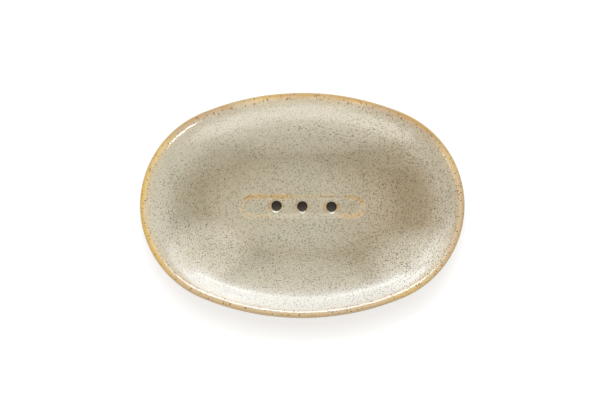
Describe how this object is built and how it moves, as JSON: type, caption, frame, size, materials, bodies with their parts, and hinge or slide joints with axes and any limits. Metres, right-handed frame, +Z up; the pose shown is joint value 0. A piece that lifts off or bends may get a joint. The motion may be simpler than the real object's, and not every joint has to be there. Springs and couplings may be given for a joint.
{
  "type": "soap dish",
  "caption": "Oval glazed stoneware soap dish with a rounded flared rim, a sunken drain channel with round drain holes, a bare foot ring and small silicone bumper pads.",
  "frame": {"origin": "on the counter, below the middle of the dish, in the plane the bumper pads rest on", "axes": "+X along the dish, +Y across it from the front to the back, +Z up"},
  "size_m": [0.144, 0.1, 0.027],
  "materials": {
    "glaze": "gloss oatmeal glaze with fine iron-brown specks, breaking to amber where it thins over the lip, the channel edge and the hole rims",
    "bare_clay": "matte fired stoneware, buff with dark grog specks",
    "silicone": "satin translucent silicone"
  },
  "bodies": {
    "root": {"stoneware_body": "bare_clay", "foot_ring": "bare_clay", "glaze_coat": "glaze", "bumper_pad_front_left": "silicone", "bumper_pad_front_right": "silicone", "bumper_pad_back_left": "silicone", "bumper_pad_back_right": "silicone"}
  },
  "joints": []
}
